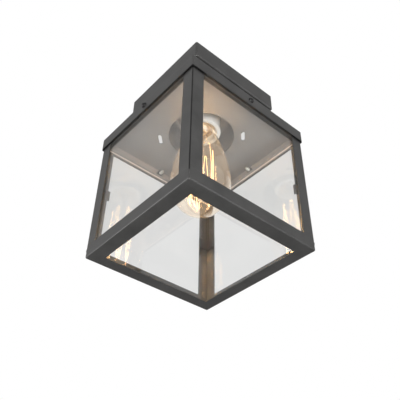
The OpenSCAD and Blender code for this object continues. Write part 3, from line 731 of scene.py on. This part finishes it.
def build_fasteners():
    """Studs and acorn nuts of the canopy, nipple and locknut on the axis, and the nuts of the side screws."""
    low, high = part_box("canopy_studs")
    stud_x = high.x - M4["radius"]
    stud = threaded(low=low.z, high=high.z, per_turn=5, **M4)
    dress(make_piece("threaded_studs", pair(stud, stud_x)), "canopy_studs")

    low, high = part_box("acorn_nuts")
    flats, acorn_tall, dome_in = high.y - low.y, 4.0 * MM, 0.3 * MM
    acorn = acorn_nut(flats, high.z - acorn_tall, high.z, flats / 2 - dome_in)
    dress(make_piece("acorn_nut_pair", pair(acorn, stud_x)), "acorn_nuts")

    low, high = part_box("nipple")
    bore = 3.2 * MM
    nipple = threaded(high.x, depth=0.4 * MM, pitch=1.0 * MM, low=low.z, high=high.z, segments=48)
    dress(make_piece("threaded_nipple", bored(nipple, bore, low.z, high.z), joined=True), "nipple")

    low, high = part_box("nipple_nut")
    flats, bore = min(high.x - low.x, high.y - low.y), 4.85 * MM
    locknut = bored(hexagon_nut(flats, low.z, high.z), bore, low.z, high.z)
    dress(make_piece("nipple_locknut", locknut, joined=True), "nipple_nut")

    low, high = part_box("weld_nuts")
    flats, tall, bore = 7.0 * MM, 3.2 * MM, 2.05 * MM
    nut = bored(hexagon_nut(flats, 0, tall), bore, 0, tall) @ LAY_DOWN.T
    seat = np.array([CAGE_HALF - ANGLE_T - tall, 0, (low.z + high.z) / 2])
    dress(make_piece("weld_nut_set", [on_side(nut + seat, i) for i in range(4)], joined=True), "weld_nuts")


# ---------------- lampholder

socket_low, socket_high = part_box("socket_body")
shell_low, shell_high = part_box("socket_shell")
THREAD_PITCH, THREAD_DEPTH = 3.63 * MM, 0.9 * MM


def build_porcelain():
    """A thick glazed cup, turned from a closed profile with soft fillets at its rims and mouth."""
    outer, mouth, bush = socket_high.x, 16.75 * MM, 7.05 * MM
    play, below_shell, mouth_tall, floor_t = 0.05 * MM, 0.3 * MM, 5.4 * MM, 5.0 * MM
    low, high = socket_low.z, socket_high.z
    floor, chamber, shell_under = high - floor_t, shell_high.x + play, shell_low.z - below_shell
    corners = [(outer, low), (outer, high), (bush, high), (bush, floor), (chamber, floor),
               (chamber, shell_under), (mouth, low + mouth_tall), (mouth, low)]
    radii = np.array([1.2, 0.6, 0.3, 0.3, 0.8, 0.3, 1.0, 0.9]) * MM
    dress(make_piece("porcelain_cup", lathe(rounded(corners, radii, 7)), joined=True), "socket_body")


def rolled_thread(radius, low, high, lead_low, lead_high, z, a):
    """Radius of a rolled lamp thread: radius less depth times half of 1 - cos(turns), where the turns are
    z / pitch - a / turn, fading to the plain radius outside the threaded length."""
    turns = z / THREAD_PITCH - a / (2 * np.pi)
    fade = smooth_step((z - low) / lead_low) * smooth_step((high - z) / lead_high)
    return radius - THREAD_DEPTH * (0.5 - 0.5 * np.cos(2 * np.pi * turns)) * fade


def build_screw_shell():
    """Thin brass shell rolled with the same thread as the lamp cap, a wall thickness outside it."""
    wall, lead = 0.5 * MM, 2 * MM
    z = np.linspace(shell_low.z, shell_high.z, 90)[:, None]
    a = around(64)
    r = rolled_thread(shell_high.x - wall, shell_low.z, shell_high.z, lead, lead, z, a)
    grid = np.concatenate([turned(r, a, z), turned(r + wall, a, z)[::-1]])
    dress(make_piece("rolled_screw_shell", grid, joined=True), "socket_shell")


# ---------------- lamp

lamp_low, lamp_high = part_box("bulb_glass")
cap_low, cap_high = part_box("bulb_cap")
LAMP_R = lamp_high.x
LAMP_NECK_R = 15.0 * MM
WIDE_UP = 37.5 * MM
NECK_Z = cap_low.z - 1.0 * MM
WIDE_Z = lamp_low.z + WIDE_UP
GLASS_T = 0.55 * MM
CEMENT_R = 11.65 * MM


def teardrop(wall=0.0):
    """Half outline of the glass from its tip to its neck, at a wall's depth inside the outer face.

    Below the widest place it is a quarter ellipse. Above it the radius grows from the neck by
    sin(u quarter turns) to the power 1.2 of the difference, where u is the share of the way down."""
    t = np.linspace(0.004, np.pi / 2, 40)
    bowl = np.stack([(LAMP_R - wall) * np.sin(t), WIDE_Z - (WIDE_UP - wall) * np.cos(t)], 1)
    u = np.linspace(1, 0, 60)[1:]
    flare = LAMP_NECK_R + (LAMP_R - LAMP_NECK_R) * np.sin(np.pi / 2 * u) ** 1.2
    neck = np.stack([flare - wall, NECK_Z + (WIDE_Z - NECK_Z) * u], 1)
    return np.concatenate([bowl, neck])


def build_lamp_glass():
    """Outer wall from the tip up to the neck, a shoulder into the cap, and the inner wall back down."""
    ease, dip, in_cap = 0.4 * MM, 0.2 * MM, 8 * MM
    shoulder = np.array([(CEMENT_R + ease, cap_low.z - dip), (CEMENT_R, cap_low.z + ease),
                         (CEMENT_R, cap_low.z + in_cap)])
    inside = shoulder - np.array([GLASS_T, 0])
    profile = np.concatenate([teardrop(), shoulder, inside[::-1], teardrop(GLASS_T)[::-1]])
    dress(make_piece("lamp_envelope", lathe(profile, 128), sharp=80, weighted=False), "bulb_glass", BULB)


def build_lamp_cap():
    """Rolled brass cap: threaded outside and, a wall in, threaded inside, closed by a turned-in crown."""
    wall, plain, slope, slope_in, hole = 0.4 * MM, 1.2 * MM, 0.8 * MM, 1.0 * MM, 6.0 * MM
    low, high = cap_low.z, cap_high.z
    z = np.linspace(low, high - plain, 110)[:, None]
    a = around(72)
    r = rolled_thread(cap_high.x, low + plain, high - plain, lead_low=1.5 * MM, lead_high=1.0 * MM, z=z, a=a)
    top_r = cap_high.x - THREAD_DEPTH
    crown = lathe([(top_r, high - wall), (top_r - slope, high), (hole, high), (hole, high - wall),
                   (top_r - slope_in, high - wall)], 72)
    grid = np.concatenate([turned(r, a, z), crown, turned(r - wall, a, z)[::-1]])
    dress(make_piece("lamp_screw_cap", grid, joined=True), "bulb_cap", BULB)


def build_lamp_tip():
    """Black glass cone with rounded rims, and the solder drop on it, whose surface is a little uneven."""
    low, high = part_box("bulb_insulator")
    core, tip = 0.3 * MM, 5.2 * MM
    corners = [(core, low.z), (high.x, low.z), (tip, high.z), (core, high.z)]
    radii = np.array([0.01, 0.5, 0.6, 0.01]) * MM
    cone = lathe(rounded(corners, radii), 64)
    dress(make_piece("black_glass_cone", cone, joined=True), "bulb_insulator", BULB)
    low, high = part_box("bulb_contact")
    t, a = np.linspace(0.01, np.pi / 2, 14)[:, None], around(48)
    uneven = 1 - 0.05 * np.sin(t) * (1 + np.sin(3 * a + 0.6) * np.sin(2 * t))
    z = low.z + (high.z - low.z) * np.cos(t) * (1 - 0.04 * np.sin(2 * a + 1) * np.sin(t))
    dress(make_piece("solder_drop", turned(high.x * np.sin(t) * uneven, a, z)), "bulb_contact", "bulb_travel")


filament_low, filament_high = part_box("filament")
stem_low, stem_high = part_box("bulb_stem")
STRANDS = 12
WIRE_R, SUPPORT_R = 0.25 * MM, 0.14 * MM
HOOK_TOP_R, HOOK_LOW_R, HOOK_HALF = 12.5 * MM, 12.0 * MM, 0.9 * MM
HOOK_INSET = 0.35 * MM
HOOK_TOP_Z, HOOK_LOW_Z = filament_high.z - HOOK_INSET, filament_low.z + HOOK_INSET
BUTTON_R = 2.2 * MM
BUTTON_TOP_Z, BUTTON_LOW_Z = HOOK_TOP_Z - 2 * MM, stem_low.z + BUTTON_R


def hooks():
    """Middle of each bend of the wire, with the directions outwards, beside and towards the bend's crest.
    Even ones lie at the top of the cage, odd ones at the bottom."""
    i = np.arange(STRANDS)
    a = 2 * np.pi * i / STRANDS
    even = i % 2 == 0
    radius = np.where(even, HOOK_TOP_R, HOOK_LOW_R)
    height = np.where(even, HOOK_TOP_Z - HOOK_HALF, HOOK_LOW_Z + HOOK_HALF)
    out = np.stack([np.cos(a), np.sin(a), 0 * a], 1)
    beside = np.stack([-np.sin(a), np.cos(a), 0 * a], 1)
    crest = np.array([0, 0, 1.0]) * np.where(even, 1.0, -1.0)[:, None]
    return radius[:, None] * out + np.array([0, 0, 1]) * height[:, None], out, beside, crest


def build_filament():
    """One wire: round each hook a half circle across the hook's direction, between hooks a line that bows
    outwards by a fine sine. Its two ends stay apart."""
    middle, out, beside, crest = hooks()
    bend = np.linspace(np.pi, 0, 9)[None, :, None]
    turns = middle[:, None] + HOOK_HALF * (np.cos(bend) * beside[:, None] + np.sin(bend) * crest[:, None])
    share, bow_out = np.linspace(0, 1, 26)[None, 1:-1, None], 0.6 * MM
    start, end = turns[:-1, -1:], turns[1:, :1]
    bow = (out[:-1] + out[1:])[:, None] * bow_out * np.sin(np.pi * share)
    runs = start + (end - start) * share + bow
    path = np.concatenate([np.concatenate([turns[:-1], runs], 1).reshape(-1, 3), turns[-1]])
    grid = tube(path, WIRE_R, 10, path * np.array([1, 1, 0]))
    dress(make_piece("caged_filament", grid, sharp=80, weighted=False), "filament", BULB)


def build_stem():
    """Glass stem: its section is an ellipse whose two half widths change down the stem, round at the
    flare, flat where the glass is pinched on the lead wires, then a round rod with two buttons."""
    top = stem_high.z
    down = np.array([0, 1.5, 5, 10, 14, 17, 22, 27, 30]) * MM
    heights = np.append(top - down, HOOK_TOP_Z + 4 * MM)
    wide = np.array([10.6, 9.8, 6.4, 4.4, 4.0, 4.6, 5.2, 4.4, 1.8, 1.4]) * MM
    deep = np.array([10.6, 9.8, 6.4, 4.4, 3.8, 2.6, 1.7, 1.9, 1.6, 1.4]) * MM
    t, k, a = np.linspace(0, len(heights) - 1, 70), np.arange(len(heights)), around(40)
    ease = np.floor(t) + smooth_step(t - np.floor(t))
    z = np.interp(t, k, heights)[:, None]
    rx, ry = np.interp(ease, k, wide)[:, None], np.interp(ease, k, deep)[:, None]
    flare = np.stack([rx * np.cos(a), ry * np.sin(a), z + 0 * a], -1)

    rod_top, plain_r, end_r = HOOK_TOP_Z + 3.9 * MM, 1.3 * MM, 0.1 * MM
    rod_z = np.linspace(rod_top, stem_low.z, 90)
    rod_r = np.full_like(rod_z, plain_r)
    for level in (BUTTON_TOP_Z, BUTTON_LOW_Z):
        rod_r = np.maximum(rod_r, np.sqrt(np.clip(BUTTON_R ** 2 - (rod_z - level) ** 2, 0, None)))
    rod_r[-1] = end_r
    rod = lathe(np.stack([rod_r, rod_z], 1), 40)
    dress(make_piece("lamp_stem", [flare, rod], sharp=60, weighted=False), "bulb_stem", BULB)


def build_supports():
    """Fine wires from the two glass buttons out to the bends. Each rises on a flat sine and then curls
    once round its bend."""
    middle, out, beside, crest = hooks()
    from_axis, curl_r, below, rise = 2.0 * MM, 0.45 * MM, 0.1 * MM, 0.5 * MM
    reach = np.linspace(0, 1, 10)[:, None]
    curl = np.linspace(0, 1.25 * np.pi, 9)[:, None]
    wires = []
    for k in range(STRANDS):
        base = from_axis * out[k] + np.array([0, 0, BUTTON_TOP_Z if k % 2 == 0 else BUTTON_LOW_Z])
        bend = middle[k] + crest[k] * HOOK_HALF
        foot = bend - curl_r * out[k] - crest[k] * below
        straight = base + (foot - base) * reach + crest[k] * rise * np.sin(np.pi * reach)
        hook = bend + curl_r * (-np.cos(curl) * out[k] + np.sin(curl) * crest[k])
        path = np.concatenate([straight[:-1], hook])
        wires.append(tube(path, SUPPORT_R, 6, np.broadcast_to(beside[k], path.shape)))
    dress(make_piece("support_wires", wires, sharp=80, weighted=False), "filament_supports", BULB)


# ---------------- studio

FLOOR_Z, FLOOR_HALF = -1.15, 6.0
FLOOR_GLOW = 0.45
# level of the white world for each kind of ray. A ray straight through glass is glossy and transmitted
WORLD_LEVELS = {"Is Diffuse Ray": 0.28, "Is Glossy Ray": 0.36, "Is Transmission Ray": 0.41,
                "Is Camera Ray": 1.0}
# name, place, width and power of each lamp
LAMPS = (
    ("left", (-1.2, -1.7, 0.0), 1.0, 2.9),
    ("right", (1.8, 1.0, 0.0), 0.8, 1.5),
    ("low", (0.85, -0.72, -0.95), 0.5, 6.0),
)
LIT_POINT = np.array([0, 0, -0.12])


def build_floor():
    """A pale floor far below the lantern. It glows a little for the eye, also through glass, so that it
    shows pale and yet lights nothing."""
    corners = [(x * FLOOR_HALF, y * FLOOR_HALF, FLOOR_Z) for x, y in ((-1, -1), (1, -1), (1, 1), (-1, 1))]
    mesh = bpy.data.meshes.new("floor")
    mesh.from_pydata(corners, [], [(0, 1, 2, 3)])
    floor = new_object("floor", mesh)
    paint = finish("pale_floor", (0.78, 0.78, 0.77), (0.82, 0.82, 0.81), grain=30, depth=0.0, patch=1.5,
                   rough=(0.8, 0.9), Emission_Color=(1, 1, 1, 1))
    tree = paint.node_tree
    ray = add(tree, "ShaderNodeLightPath").outputs
    seen = combine(tree, "ADD", ray["Is Camera Ray"], ray["Is Transmission Ray"], clamp=True)
    pale = combine(tree, "MULTIPLY", seen, FLOOR_GLOW)
    tree.links.new(pale, tree.nodes["Principled BSDF"].inputs["Emission Strength"])
    floor.data.materials.append(paint)


def build_world():
    """A white world whose strength is the sum of the levels, each times whether the ray is of its kind."""
    world = bpy.data.worlds.new("studio")
    bpy.context.scene.world = world
    world.use_nodes = True
    tree = world.node_tree
    tree.nodes.clear()
    path = add(tree, "ShaderNodeLightPath")
    total = 0.0
    for ray, level in WORLD_LEVELS.items():
        total = combine(tree, "MULTIPLY_ADD", path.outputs[ray], level, total)
    background = add(tree, "ShaderNodeBackground", Color=(1, 1, 1, 1))
    tree.links.new(total, background.inputs["Strength"])
    tree.links.new(background.outputs[0], add(tree, "ShaderNodeOutputWorld").inputs["Surface"])


def build_lamps():
    """Soft round lamps. They are hidden from rays that have passed glass, and show behind no pane."""
    for name, place, size, power in LAMPS:
        light = bpy.data.lights.new(name, "AREA")
        light.shape = "DISK"
        light.size = size
        light.energy = power
        light.spread = math.radians(90)
        lamp = new_object(name, light)
        lamp.visible_transmission = False
        aim(lamp, np.array(place), LIT_POINT - np.array(place))


def aim(thing, place, direction):
    """Puts a lamp or the camera at a place, looking along a direction, level with the ground."""
    back = -direction / np.linalg.norm(direction)
    right = np.cross([0, 0, 1], back)
    right /= np.linalg.norm(right)
    turn = np.eye(4)
    turn[:3, 0], turn[:3, 1], turn[:3, 2], turn[:3, 3] = right, np.cross(back, right), back, place
    thing.matrix_world = Matrix(turn)


def build_camera():
    """A camera below the front right corner, looking up, with a level horizon. Its lens covers the square
    frame, and the small shift places the lantern in it as the photograph does."""
    azimuth, pitch = math.radians(48.32), math.radians(40.06)
    focal_px, frame_px = 562.6, 400
    centre_px = (212.66, 192.51)
    sensor = 36.0
    place = np.array([0.34909, -0.29347, -0.53234])
    data = bpy.data.cameras.new("camera")
    data.sensor_width = sensor
    data.lens = focal_px / frame_px * sensor
    data.shift_x = (frame_px / 2 - centre_px[0]) / frame_px
    data.shift_y = (centre_px[1] - frame_px / 2) / frame_px
    data.clip_start = 0.01
    camera = new_object("camera", data)
    bpy.context.scene.camera = camera
    ahead = (-math.sin(azimuth) * math.cos(pitch), math.cos(azimuth) * math.cos(pitch), math.sin(pitch))
    aim(camera, place, np.array(ahead))


build_frame()
build_weld_spots()
build_neck_cup()
build_panes()
build_clips()
build_side_screws()
build_fasteners()
build_porcelain()
build_screw_shell()
build_lamp_glass()
build_lamp_cap()
build_lamp_tip()
build_filament()
build_stem()
build_supports()
paint_cad_nodes()
build_floor()
build_world()
build_lamps()
build_camera()
bpy.context.scene.view_settings.view_transform = "Standard"
